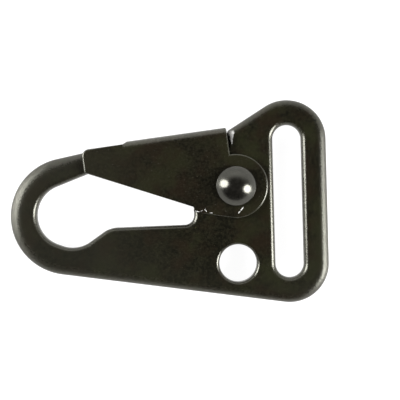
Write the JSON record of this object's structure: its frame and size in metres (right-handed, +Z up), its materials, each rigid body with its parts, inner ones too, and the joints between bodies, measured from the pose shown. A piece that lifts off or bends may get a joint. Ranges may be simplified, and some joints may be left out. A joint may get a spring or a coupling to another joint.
{
  "type": "snap hook",
  "caption": "Flat steel snap hook with a sprung folded gate, a slot for webbing and a round hole for a cord.",
  "frame": {"origin": "centre of the whole hook's length and width, on the plane that the hook lies on", "axes": "+X along the hook's length towards the webbing slot, +Y towards the gate's side, +Z up out of the plate, towards the rivet's domed head"},
  "size_m": [0.0664, 0.0424, 0.0094],
  "materials": {
    "frame_steel": "black oxide, satin",
    "gate_steel": "black oxide, satin",
    "rivet_steel": "black oxide, satin with a polished crown",
    "spring_steel": "drawn wire, lightly oiled"
  },
  "bodies": {
    "frame": {"hook_frame": "frame_steel", "pivot_rivet": "rivet_steel", "gate_spring": "spring_steel"},
    "gate": {"gate": "gate_steel"}
  },
  "joints": [
    {"name": "gate_pivot", "type": "hinge", "parent": "frame", "child": "gate", "pos_m": [0.01407, 0.00341, 0.00395], "axis": [0, 0, 1], "range_deg": [0, 25], "stiffness_Nm_per_rad": 0.12, "springref_deg": -51.57, "deforming": ["gate_spring"]}
  ]
}
